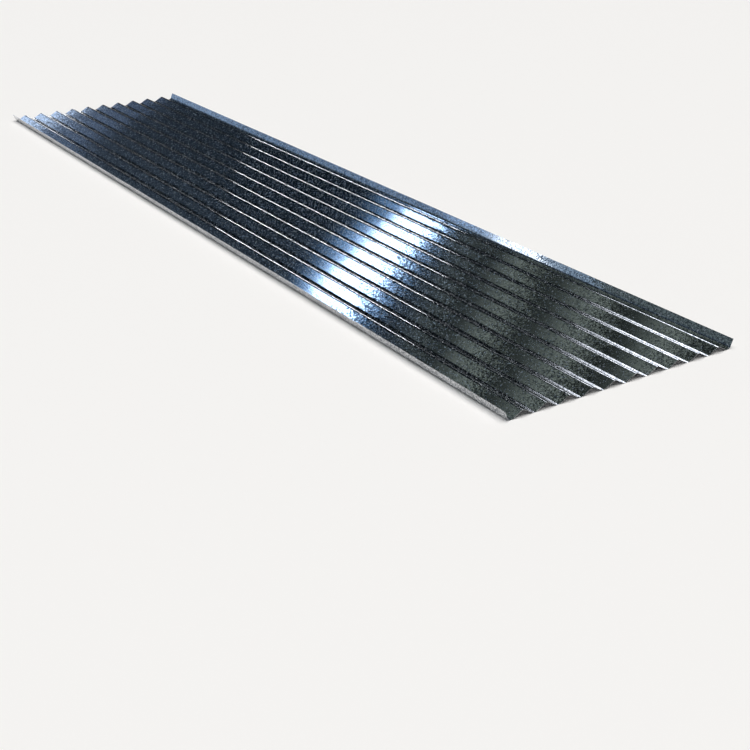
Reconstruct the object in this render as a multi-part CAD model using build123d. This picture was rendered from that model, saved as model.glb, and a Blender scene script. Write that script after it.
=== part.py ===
from build123d import *
import math
import os

# Corrugated roofing sheet: one strip of galvanised steel, cold rolled into even waves, cut square at both
# ends, with both long edges turned up past the crests.
# X runs across the waves, Y along them and Z up. The origin is under the middle of the sheet, on the level
# that the undersides of the valleys rest on.

# Driving sizes, in millimetres. Those of the wave are taken on the middle surface of the steel.
sheet_length = 3600
sheet_thickness = 0.5
wave_pitch = 76.2
wave_depth = 17.3
bend_radius = 12
edge_reach = 19
edge_rise = 28
valley_count = 11

# Where the bends lie: valleys on even steps of half a pitch, crests on the odd ones between them.
half_pitch = wave_pitch / 2
crest_count = valley_count - 1
outer_valley_x = crest_count * half_pitch
half_thickness = sheet_thickness / 2
valley_z = half_thickness
crest_z = valley_z + wave_depth


def bend_turn(run, rise):
    """Degrees that a bend turns, from level, before its straight flank points at the place run, rise away."""
    to_place = math.hypot(run, rise - bend_radius)
    above_level = math.atan2(rise - bend_radius, run)
    return math.degrees(above_level + math.asin(bend_radius / to_place))


# A flank of the wave passes half way between valley and crest. An edge flank ends at the cut edge.
wave_turn = bend_turn(half_pitch / 2, wave_depth / 2)
edge_turn = bend_turn(edge_reach, edge_rise)


def valley_arc(x, outward, turn_before, turn_after):
    """Valley bend from left to right, on the surface that lies outward of the middle one (up is positive)."""
    centre = (x, valley_z + bend_radius)
    return CenterArc(centre, bend_radius - outward, -90 - turn_before, turn_before + turn_after)


def crest_arc(x, outward):
    """Crest bend from left to right, concentric on every surface of the sheet."""
    centre = (x, crest_z - bend_radius)
    return CenterArc(centre, bend_radius + outward, 90 + wave_turn, -2 * wave_turn)


def edge_corner(side, outward):
    """Corner of a long edge, square to its flank. The side is -1 on the left and 1 on the right."""
    lean = math.radians(edge_turn)
    x = outer_valley_x + edge_reach - outward * math.sin(lean)
    z = valley_z + edge_rise + outward * math.cos(lean)
    return (side * x, z)


def surface_line(outward):
    """The whole section line of one surface, edge to edge: bends joined by flanks that are tangent to them."""
    bends = []
    for step in range(valley_count + crest_count):
        x = step * half_pitch - outer_valley_x
        if step % 2:
            bends.append(crest_arc(x, outward))
        else:
            is_first = step == 0
            is_last = step == valley_count + crest_count - 1
            turn_before = edge_turn if is_first else wave_turn
            turn_after = edge_turn if is_last else wave_turn
            bends.append(valley_arc(x, outward, turn_before, turn_after))

    flanks = [Line(bend @ 1, following @ 0) for bend, following in zip(bends, bends[1:])]
    left_flank = Line(edge_corner(-1, outward), bends[0] @ 0)
    right_flank = Line(bends[-1] @ 1, edge_corner(1, outward))
    return [left_flank, *bends, *flanks, right_flank]


def corrugated_sheet():
    """The section between the upper and lower surfaces, carried along the length of the sheet."""
    cut_edges = [
        Line(edge_corner(side, half_thickness), edge_corner(side, -half_thickness)) for side in (-1, 1)
    ]
    section = make_face(surface_line(half_thickness) + surface_line(-half_thickness) + cut_edges)
    return extrude(Plane.XZ * section, amount=sheet_length / 2, both=True)


sheet = corrugated_sheet()
sheet.label = "corrugated_sheet"

os.makedirs("parts", exist_ok=True)
export_step(sheet, "parts/corrugated_sheet.step")

box = sheet.bounding_box()
print(f"width {box.size.X:.2f}, length {box.size.Y:.2f}, height {box.size.Z:.2f} mm")
print(f"lowest {box.min.Z:.3f} mm, wave flanks {wave_turn:.1f} degrees, edge flanks {edge_turn:.1f} degrees")
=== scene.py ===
# %% [markdown]
# # A corrugated roofing sheet of galvanised steel
# The object is one strip of thin steel that was dipped in molten zinc and then rolled into even waves.
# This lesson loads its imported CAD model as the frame, builds a fine surface over the same section, gives it
# the finish of frozen zinc, and sets it on a pale floor in a shaded room with soft lamps.

import math

import bpy
import numpy as np
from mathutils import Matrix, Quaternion, Vector


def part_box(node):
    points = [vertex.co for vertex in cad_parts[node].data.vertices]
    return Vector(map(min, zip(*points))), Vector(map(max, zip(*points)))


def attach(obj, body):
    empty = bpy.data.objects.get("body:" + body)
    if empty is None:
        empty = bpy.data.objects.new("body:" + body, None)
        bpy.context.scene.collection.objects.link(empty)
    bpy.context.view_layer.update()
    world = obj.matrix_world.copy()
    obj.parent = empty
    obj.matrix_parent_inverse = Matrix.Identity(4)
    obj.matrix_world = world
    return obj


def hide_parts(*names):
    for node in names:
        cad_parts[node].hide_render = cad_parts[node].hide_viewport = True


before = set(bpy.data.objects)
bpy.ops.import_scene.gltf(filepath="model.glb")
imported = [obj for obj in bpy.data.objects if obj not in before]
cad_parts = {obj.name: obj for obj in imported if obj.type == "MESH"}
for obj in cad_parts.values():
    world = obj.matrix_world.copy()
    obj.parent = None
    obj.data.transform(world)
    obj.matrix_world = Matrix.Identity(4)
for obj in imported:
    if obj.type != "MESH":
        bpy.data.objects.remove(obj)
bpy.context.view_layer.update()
sheet_low, sheet_high = (np.array(corner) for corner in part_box("corrugated_sheet"))
print("CAD sheet in metres:", (sheet_high - sheet_low).round(4))

# %% [markdown]
# ## The rolled section
# Rolls press the strip into arcs, one over each crest and one under each valley, with a straight flank
# between two arcs. Both long edges are turned up more steeply, so that the next sheet can lap over them.
# The CAD node has this section already, but with few facets to a bend, and bright metal shows every facet.
# So the section is worked out again here from its driving sizes, with many points to a bend.

# %% Driving sizes of the section
mm = 0.001
sheet_thickness = 0.5 * mm
wave_pitch = 76.2 * mm
wave_depth = 17.3 * mm
bend_radius = 12 * mm
edge_reach = 19 * mm
edge_rise = 28 * mm
valley_count = 11


def bend_turn(run, rise):
    """Turn of a bend whose flank starts level and reaches a point that far along and up: the angle up to that
    point from the bend's centre, and then the angle between that line and the tangent through the point."""
    above_centre = rise - bend_radius
    return math.atan2(above_centre, run) + math.asin(bend_radius / math.hypot(run, above_centre))


wave_turn = bend_turn(wave_pitch / 4, wave_depth / 2)
edge_turn = bend_turn(edge_reach, edge_rise)
print("wave flanks lean", round(math.degrees(wave_turn), 1), "degrees")
print("edge flanks lean", round(math.degrees(edge_turn), 1), "degrees")

# %% Middle line of the section
steps_per_bend = 14
steps_per_flank = 4


def section_line():
    """x, z and lean of the section's middle line, from the left edge to the right. The lean is its slope.

    Bend k has its centre k - 10 half pitches from the middle, a radius above a valley or below a crest.
    In a valley the point at lean a is the centre + radius * (sin a, -cos a), and on a crest it is the centre
    - radius * (sin a, -cos a). The lean turns evenly through a bend. The points of a flank stand at even
    shares of the straight way between two bends."""
    bend = np.arange(2 * valley_count - 1)
    side = np.where(bend % 2 == 0, 1.0, -1.0)
    centre_x = (bend - valley_count + 1) * wave_pitch / 2
    centre_z = np.where(side > 0, bend_radius, wave_depth - bend_radius) + sheet_thickness / 2
    lean_in, lean_out = -side * wave_turn, side * wave_turn
    lean_in[0], lean_out[-1] = -edge_turn, edge_turn
    share = np.linspace(0, 1, steps_per_bend + 1)
    lean = lean_in[:, None] + (lean_out - lean_in)[:, None] * share
    x = centre_x[:, None] + side[:, None] * bend_radius * np.sin(lean)
    z = centre_z[:, None] - side[:, None] * bend_radius * np.cos(lean)

    edge_x = (valley_count - 1) * wave_pitch / 2 + edge_reach
    edge_z = edge_rise + sheet_thickness / 2
    first_step = steps_per_flank + bend * (steps_per_bend + steps_per_flank)
    known = (first_step[:, None] + np.arange(steps_per_bend + 1)).ravel()
    step = np.arange(known[-1] + steps_per_flank + 1)
    known = np.concatenate(([0], known, [step[-1]]))
    line_x = np.interp(step, known, np.concatenate(([-edge_x], x.ravel(), [edge_x])))
    line_z = np.interp(step, known, np.concatenate(([edge_z], z.ravel(), [edge_z])))
    line_lean = np.interp(step, known, np.concatenate(([-edge_turn], lean.ravel(), [edge_turn])))
    return line_x, line_z, line_lean


line_x, line_z, line_lean = section_line()
print("section of", len(line_x), "points,", round(np.ptp(line_x) / mm, 1), "mm wide")

# %% [markdown]
# ## The sheet
# The sheet is its section carried straight along the length: once for the upper face and once for the lower,
# each half a thickness from the middle line. Thin steel never lies quite flat, and a mirror-like face shows
# it, so long, shallow swells are added to the height. They are a fraction of a millimetre, less than the eye
# would find in the outline, and yet they make the reflections waver from flank to flank.
# A bump pattern could do that too, but real swells stay in the mesh wherever it is used.

# %% Points of the sheet
rows = 124
swell_height = 0.16 * mm
swell_count = 24
swell_seed = 7
longest_swell = 1100 * mm
shortest_swell = 260 * mm


def swells(x, y):
    """Height of the shallow swells: a sum of cosine waves of seeded lengths, headings and phases."""
    chance = np.random.default_rng(swell_seed)
    turns = 2 * np.pi / chance.uniform(shortest_swell, longest_swell, swell_count)
    heading = chance.uniform(0, np.pi, swell_count)
    phase = chance.uniform(0, 2 * np.pi, swell_count)
    along = np.multiply.outer(x, turns * np.cos(heading)) + np.multiply.outer(y, turns * np.sin(heading))
    return swell_height * np.cos(along + phase).sum(-1) / math.sqrt(swell_count / 2)


def sheet_points():
    """Points of the sheet as rows of closed rings: the upper face from left to right, then the lower back.

    A ring point is the middle line + or - half a thickness * (-sin lean, cos lean), set at the row's place
    along the length and raised by the swells there. The whole then comes down to rest on its lowest point."""
    half = sheet_thickness / 2
    ring_x = np.concatenate((line_x - half * np.sin(line_lean), (line_x + half * np.sin(line_lean))[::-1]))
    ring_z = np.concatenate((line_z + half * np.cos(line_lean), (line_z - half * np.cos(line_lean))[::-1]))
    under_x = np.concatenate((line_x, line_x[::-1]))
    row_y = np.linspace(sheet_low[1], sheet_high[1], rows + 1)
    x, y = np.broadcast_arrays(ring_x, row_y[:, None])
    z = ring_z + swells(np.broadcast_to(under_x, x.shape), y)
    z += sheet_low[2] - z.min()
    return np.stack((x, y, z), -1)


points = sheet_points()
print("sheet of", points.shape[0], "rings with", points.shape[1], "points each")
print("swells span", round(np.ptp(swells(points[..., 0], points[..., 1])) / mm, 2), "mm")

# %% Mesh of the sheet
crease_angle = math.radians(50)


def ring_faces(row_count, ring_count):
    """Four-cornered faces between each row's ring and the next, and across the ring at both ends."""
    corner = np.arange(row_count * ring_count).reshape(row_count, ring_count)
    after = np.roll(corner, -1, axis=1)
    around = np.stack((corner[:-1], after[:-1], after[1:], corner[1:]), -1).reshape(-1, 4)
    half = ring_count // 2
    upper, lower = corner[:, :half], corner[:, :half - 1:-1]
    near = np.stack((upper[0, :-1], lower[0, :-1], lower[0, 1:], upper[0, 1:]), -1)
    far = np.stack((upper[-1, 1:], lower[-1, 1:], lower[-1, :-1], upper[-1, :-1]), -1)
    return np.concatenate((around, near, far))


faces = ring_faces(*points.shape[:2])
mesh = bpy.data.meshes.new("galvanised_sheet")
mesh.from_pydata(points.reshape(-1, 3), [], faces)
mesh.polygons.foreach_set("use_smooth", np.ones(len(faces), bool))
mesh.set_sharp_from_angle(angle=crease_angle)
sheet = bpy.data.objects.new("galvanised_sheet", mesh)
bpy.context.scene.collection.objects.link(sheet)
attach(sheet, "root")
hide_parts("corrugated_sheet")
print("sheet of", 2 * len(faces), "triangles")

# %% [markdown]
# ## Colours and nodes
# A finish in Blender is a small network of nodes. Each could be made and linked by hand, line after line.
# Two helpers keep that short: one turns a colour as it is seen on a screen into the linear light that Blender
# reckons with, and one adds a node with its settings and links.

# %% Helpers for colours and nodes
def hex_colour(text):
    """Linear red, green, blue and alpha of an sRGB colour such as #8899AA, by the sRGB transfer curve."""
    share = np.array([int(text[i:i + 2], 16) for i in (1, 3, 5)]) / 255
    linear = np.where(share <= 0.04045, share / 12.92, ((share + 0.055) / 1.055) ** 2.4)
    return (*linear.tolist(), 1.0)


def add_node(tree, kind, inputs=None, stops=(), **settings):
    """Adds a node. Settings are its own properties. Inputs are its sockets, by name or number, and each takes
    a value or another node's output. Stops are the places and colours of a colour ramp, its ends first."""
    node = tree.nodes.new(kind)
    for name, value in settings.items():
        setattr(node, name, value)
    for name, value in (inputs or {}).items():
        if isinstance(value, bpy.types.NodeSocket):
            tree.links.new(value, node.inputs[name])
        else:
            node.inputs[name].default_value = value
    for number, (place, colour) in enumerate(stops):
        elements = node.color_ramp.elements
        stop = elements[number] if number < 2 else elements.new(place)
        stop.position = place
        stop.color = hex_colour(colour)
    return node


print("mid grey #808080 is", round(hex_colour("#808080")[0], 3), "in linear light")

# %% [markdown]
# ## The zinc finish
# Hot-dip galvanised steel comes out of the bath with zinc freezing on it. The zinc sets as flat crystals a
# few millimetres across, the spangle. Each crystal has its own tone and a slight tilt of its own, and its
# edges are feathered. Most are as bright as a mirror, some are partly frosted, and a few set dull.
# A photograph of spangle could be used as an image. Cells of a Voronoi pattern are better here, because they
# need no image and give every crystal its own random colour. The red, green and blue of that colour are
# three chances, which decide how frosted, how light and how dull the crystal is, and together they tilt it.

# %% Hot-dip galvanised steel
crystal_width = 3.4 * mm
crystal_tilt = 0.012
feather_width = 1.2 * mm
# Real frost is finer than this and never shows grain by grain. Drawn this coarse it mixes with the polished
# metal inside each crystal, and shows as haze.
frost_width = 0.7 * mm
# Shares of the crystals that are almost clear and that are dull. The frost is a noise from 0 to 1, and a spot
# where it is under the crystal's own level is frosted. That level is the least one on the clear crystals.
clear_share = 0.62
dull_share = 0.05
least_frost = 0.24
most_frost = 0.50
polished_roughness = 0.06
frosted_roughness = 0.37
dull_roughness = 0.65
darkest_zinc = "#6A7078"
brightest_zinc = "#FAFBFC"


def hot_dip_galvanised_steel():
    """Bright zinc on steel: dark or white as the surroundings are, broken into flecks by its crystals."""
    material = bpy.data.materials.new("hot_dip_galvanised_steel")
    material.use_nodes = True
    tree = material.node_tree
    shader = tree.nodes["Principled BSDF"]
    place = add_node(tree, "ShaderNodeTexCoord").outputs["Object"]
    mid_range = (0.5, 0.5, 0.5)

    # Crystals with feathered edges
    feathers = add_node(tree, "ShaderNodeTexNoise",
                        {"Vector": place, "Scale": 1 / feather_width, "Detail": 2.0, "Roughness": 0.6})
    ragged = add_node(tree, "ShaderNodeVectorMath", {0: feathers.outputs["Color"], 1: mid_range},
                      operation="SUBTRACT")
    shifted = add_node(tree, "ShaderNodeVectorMath",
                       {0: ragged.outputs[0], 1: (feather_width,) * 3, 2: place}, operation="MULTIPLY_ADD")
    crystals = add_node(tree, "ShaderNodeTexVoronoi",
                        {"Vector": shifted.outputs[0], "Scale": 1 / crystal_width, "Randomness": 1.0})
    chance = add_node(tree, "ShaderNodeSeparateColor", {0: crystals.outputs["Color"]})

    # A slight tilt of its own for each crystal
    lean = add_node(tree, "ShaderNodeVectorMath", {0: crystals.outputs["Color"], 1: mid_range},
                    operation="SUBTRACT")
    upright = add_node(tree, "ShaderNodeNewGeometry").outputs["Normal"]
    tilted = add_node(tree, "ShaderNodeVectorMath",
                      {0: lean.outputs[0], 1: (crystal_tilt,) * 3, 2: upright}, operation="MULTIPLY_ADD")
    facet = add_node(tree, "ShaderNodeVectorMath", {0: tilted.outputs[0]}, operation="NORMALIZE")
    tree.links.new(facet.outputs[0], shader.inputs["Normal"])

    # Frost on some crystals, and a few that are dull all over
    frost = add_node(tree, "ShaderNodeTexNoise", {"Vector": place, "Scale": 1 / frost_width, "Detail": 1.0})
    cover = add_node(tree, "ShaderNodeMapRange",
                     {"Value": chance.outputs[0], "From Min": clear_share, "From Max": 1.0,
                      "To Min": least_frost, "To Max": most_frost})
    frosted = add_node(tree, "ShaderNodeMath", {0: frost.outputs[0], 1: cover.outputs[0]},
                       operation="LESS_THAN")
    polish = add_node(tree, "ShaderNodeMapRange",
                      {"Value": frosted.outputs[0],
                       "To Min": polished_roughness, "To Max": frosted_roughness})
    dull = add_node(tree, "ShaderNodeMath", {0: chance.outputs[2], 1: 1 - dull_share},
                    operation="GREATER_THAN")
    matte = add_node(tree, "ShaderNodeMath", {0: dull.outputs[0], 1: dull_roughness}, operation="MULTIPLY")
    roughness = add_node(tree, "ShaderNodeMath", {0: polish.outputs[0], 1: matte.outputs[0]},
                         operation="MAXIMUM")
    tree.links.new(roughness.outputs[0], shader.inputs["Roughness"])

    # A tone of its own for each crystal
    tone = add_node(tree, "ShaderNodeValToRGB", {0: chance.outputs[1]},
                    stops=((0.0, darkest_zinc), (1.0, brightest_zinc)))
    tree.links.new(tone.outputs["Color"], shader.inputs["Base Color"])
    shader.inputs["Metallic"].default_value = 1.0
    return material


mesh.materials.append(hot_dip_galvanised_steel())
print("crystals of", round(crystal_width / mm, 1), "mm on", sheet.name)

# %% [markdown]
# ## Floor
# The sheet lies on plain pale paper. A backdrop that curves up would do as well, but the camera looks down,
# so one wide, flat face is enough, and it runs out into the pale horizon of the room.

# %% Matte paper floor
floor_reach = 60.0


def matte_paper_floor():
    """Pale matte paper: one even, soft tone that keeps the sheet's shadow."""
    material = bpy.data.materials.new("matte_paper_floor")
    material.use_nodes = True
    shader = material.node_tree.nodes["Principled BSDF"]
    shader.inputs["Base Color"].default_value = hex_colour("#F8F5F3")
    shader.inputs["Roughness"].default_value = 0.9
    shader.inputs["Specular IOR Level"].default_value = 0.1
    return material


corner_x, corner_y = np.meshgrid((-floor_reach, floor_reach), (-floor_reach, floor_reach))
floor_points = np.stack((corner_x, corner_y, np.full((2, 2), sheet_low[2])), -1).reshape(-1, 3)
floor_mesh = bpy.data.meshes.new("floor")
floor_mesh.from_pydata(floor_points, [], [(0, 1, 3, 2)])
floor_mesh.materials.append(matte_paper_floor())
floor = bpy.data.objects.new("floor", floor_mesh)
bpy.context.scene.collection.objects.link(floor)
print("floor reaches", floor_reach, "m each way")

# %% [markdown]
# ## Room
# Bright metal has hardly a colour of its own: it shows the room. Real walls could be built round the sheet,
# but a world that is shaded by direction gives the same reflections with a few nodes.
# A direction's height is the sine of its angle over the horizon. The walls are dark and bluish: lighter on
# the left, dimmer in the middle, which most flanks mirror, and darkest on the right, which the shoulders of
# the crests and the valleys mirror. That draws the dark lines between the flanks. Close to the horizon the
# walls are as pale as the floor.

# %% Walls of the room
room = bpy.data.worlds.new("room")
room.use_nodes = True
bpy.context.scene.world = room
direction = add_node(room.node_tree, "ShaderNodeTexCoord").outputs["Generated"]
axes = add_node(room.node_tree, "ShaderNodeSeparateXYZ", {0: direction})
height = axes.outputs["Z"]

# Heights and colours. The horizon's two ends and its upper limit come first in each wall's ramp.
horizon = ((0.0, "#F1EFEE"), (1.0, "#161C22"), (0.045, "#E8E9EA"))
wall_tones = {
    "light": ((0.07, "#66726F"), (0.32, "#44515F"), (0.60, "#2E3741")),
    "middle": ((0.07, "#3C4753"), (0.32, "#3A4654"), (0.55, "#1E272F")),
    "dark": ((0.07, "#3C4753"), (0.20, "#1A2129"), (0.32, "#0C1116")),
}
wall_colours = {}
for wall, tones in wall_tones.items():
    ramp = add_node(room.node_tree, "ShaderNodeValToRGB", {0: height}, stops=(*horizon, *tones))
    wall_colours[wall] = ramp.outputs["Color"]

# Where, in the direction's x, the light and the dark wall start and where they are full
wall_limits = {"light": (0.01, -0.04), "dark": (0.05, 0.12)}
walls = wall_colours["middle"]
for wall, (start, full) in wall_limits.items():
    share = add_node(room.node_tree, "ShaderNodeMapRange",
                     {"Value": axes.outputs["X"], "From Min": start, "From Max": full})
    joined = add_node(room.node_tree, "ShaderNodeMix", {0: share.outputs[0], 6: walls, 7: wall_colours[wall]},
                      data_type="RGBA")
    walls = joined.outputs[2]
print("room of", len(wall_tones), "walls")

# %% [markdown]
# ## Ceiling
# At the near end the flanks look up steeply and mirror a ceiling with beams across it, which gives the soft
# dark and light bars there. Beams could be modelled overhead, but a formula in the world is shorter: a level
# ceiling meets a direction at a run of y over z, so a cosine of that run is a row of beams in perspective.

# %% Ceiling with beams
# The spacing is in heights of the ceiling, and the phase is in radians.
beam_spacing = 0.1153
beam_phase = 0.65
ceiling_start = 0.65
ceiling_full = 0.68

run = add_node(room.node_tree, "ShaderNodeMath", {0: axes.outputs["Y"], 1: height}, operation="DIVIDE")
turns = add_node(room.node_tree, "ShaderNodeMath",
                 {0: run.outputs[0], 1: 2 * math.pi / beam_spacing, 2: beam_phase}, operation="MULTIPLY_ADD")
waves = add_node(room.node_tree, "ShaderNodeMath", {0: turns.outputs[0]}, operation="COSINE")
beams = add_node(room.node_tree, "ShaderNodeMapRange", {"Value": waves.outputs[0], "From Min": -1.0})
panels = add_node(room.node_tree, "ShaderNodeValToRGB", {0: beams.outputs[0]},
                  stops=((0.0, "#171C1C"), (1.0, "#747E79")))
overhead = add_node(room.node_tree, "ShaderNodeMapRange",
                    {"Value": height, "From Min": ceiling_start, "From Max": ceiling_full})
inside = add_node(room.node_tree, "ShaderNodeMix",
                  {0: overhead.outputs[0], 6: walls, 7: panels.outputs["Color"]}, data_type="RGBA")
room.node_tree.links.new(inside.outputs[2], room.node_tree.nodes["Background"].inputs["Color"])
print("beams every", beam_spacing, "of the ceiling's height")

# %% [markdown]
# ## Lamps
# A broad sun overhead lights the floor evenly and draws the sheet's soft shadow. The sheet doesn't mirror it.
# What the sheet mirrors is soft boxes: area lamps that stand where windows and bright walls would be. One
# lamp could light everything, but each zone of the metal looks another way, so each gets its own soft box.
# Light linking lets the soft boxes light the sheet alone, so the floor stays even. Most of them stand beyond
# the far end and have a twin beyond the near end. Two more stand only beyond the near end, so that the sheet
# looks as good from behind.

# %% Sun overhead
def add_lamp(name, kind, place, **settings):
    """Adds a lamp at a place, facing the middle of the sheet. Settings are the lamp's own properties."""
    data = bpy.data.lights.new(name, kind)
    for setting, value in settings.items():
        setattr(data, setting, value)
    lamp = bpy.data.objects.new(name, data)
    lamp.location = place
    lamp.rotation_mode = "QUATERNION"
    lamp.rotation_quaternion = (-Vector(place)).to_track_quat("-Z", "Y")
    lamp.visible_camera = False
    bpy.context.scene.collection.objects.link(lamp)
    return lamp


sun = add_lamp("ceiling", "SUN", (0.0, 0.0, 5.0), energy=2.85, angle=math.radians(70))
sun.visible_glossy = False
print("sun of strength", round(sun.data.energy, 2), "overhead")

# %% Soft boxes
lit = bpy.data.collections.new("lit_by_soft_boxes")
lit.objects.link(sheet)
both_ends = (1, -1)
behind = (-1,)

# Place, width and height in metres, roll in degrees, radiance, tint, and the ends of the sheet it stands at.
# The clerestory gives the white band across the flanks, and the bright wall the white lines along the crests.
# The near window lights the crests at the near end, and the end window and end wall the tips at the far end.
# The blue panel tints the far flanks. The blue walls and low panels stand on the left, where the turned-up
# right edge looks. The back window and back corner stand only beyond the near end, for the view from behind.
soft_boxes = {
    "clerestory": ((-0.03, 6.0, 5.28), 1.66, 0.42, 0, 6.0, "#BCD9FF", both_ends),
    "clerestory_glow": ((-0.05, 6.1, 5.32), 1.8, 0.80, 4, 0.6, "#86B8F0", both_ends),
    "bright_wall": ((4.61, 6.17, 1.41), 2.27, 0.62, -20, 12.0, "#F4F8FF", both_ends),
    "near_window": ((4.34, 2.19, 3.1), 2.3, 1.18, 52, 3.2, "#F2F6FF", both_ends),
    "blue_wall": ((-3.9, 6.4, 0.75), 4.0, 1.3, 0, 0.31, "#8FBAFF", both_ends),
    "far_blue_wall": ((-3.0, 8.8, 0.7), 1.6, 1.2, 0, 0.12, "#BCD6FF", both_ends),
    "low_panel": ((-3.7, 3.5, 1.0), 0.4, 1.0, 0, 2.4, "#E8F2FF", both_ends),
    "low_panel_glow": ((-3.75, 3.50, 1.0), 1.3, 1.0, 0, 0.35, "#B4D4FF", both_ends),
    "end_window": ((-0.22, 9.5, 3.07), 1.28, 0.5, -12, 1.3, "#CBE1FF", both_ends),
    "end_wall": ((2.5, 9.5, 1.2), 1.1, 0.7, 0, 5.0, "#F4F8FF", both_ends),
    "blue_panel": ((-0.3, 9.6, 2.85), 3.0, 1.9, -4, 0.19, "#9DB9EA", both_ends),
    "back_window": ((2.9, 6.4, 2.1), 1.5, 1.3, 0, 1.6, "#DCE8FF", behind),
    "back_corner": ((-4.4, 4.4, 1.55), 3.2, 0.7, 0, 5.0, "#F4F8FF", behind),
}
for name, ((x, y, z), width, tall, roll, radiance, tint, ends) in soft_boxes.items():
    for end in ends:
        lamp = add_lamp(name if end > 0 else name + "_behind", "AREA", (end * x, end * y, z),
                        shape="RECTANGLE", size=width, size_y=tall,
                        energy=radiance * math.pi * width * tall, color=hex_colour(tint)[:3])
        lamp.rotation_quaternion @= Quaternion((0, 0, 1), math.radians(roll))
        lamp.light_linking.receiver_collection = lit
print("lamps:", len(bpy.data.lights))

# %% [markdown]
# ## Camera
# The camera has the photograph's viewpoint: off the near left corner, at chest height, looking down along the
# sheet. Its place and lens could be found by eye. They were worked out instead from the places where the
# crests and valleys end in the picture, so that every wave falls where it should.

# %% Camera
camera_data = bpy.data.cameras.new("camera")
camera_data.sensor_width = 36.0
camera_data.lens = 59.72
camera = bpy.data.objects.new("camera", camera_data)
camera.location = (-2.1404, -3.8672, 1.4009)
view_heading = math.radians(33.40)
view_drop = math.radians(25.38)
look = Vector((math.sin(view_heading) * math.cos(view_drop), math.cos(view_heading) * math.cos(view_drop),
               -math.sin(view_drop)))
camera.rotation_mode = "QUATERNION"
camera.rotation_quaternion = look.to_track_quat("-Z", "Y")
bpy.context.scene.collection.objects.link(camera)
bpy.context.scene.camera = camera
bpy.context.scene.view_settings.view_transform = "Standard"
print("camera", round(camera.location.length, 2), "m from the middle of the sheet")
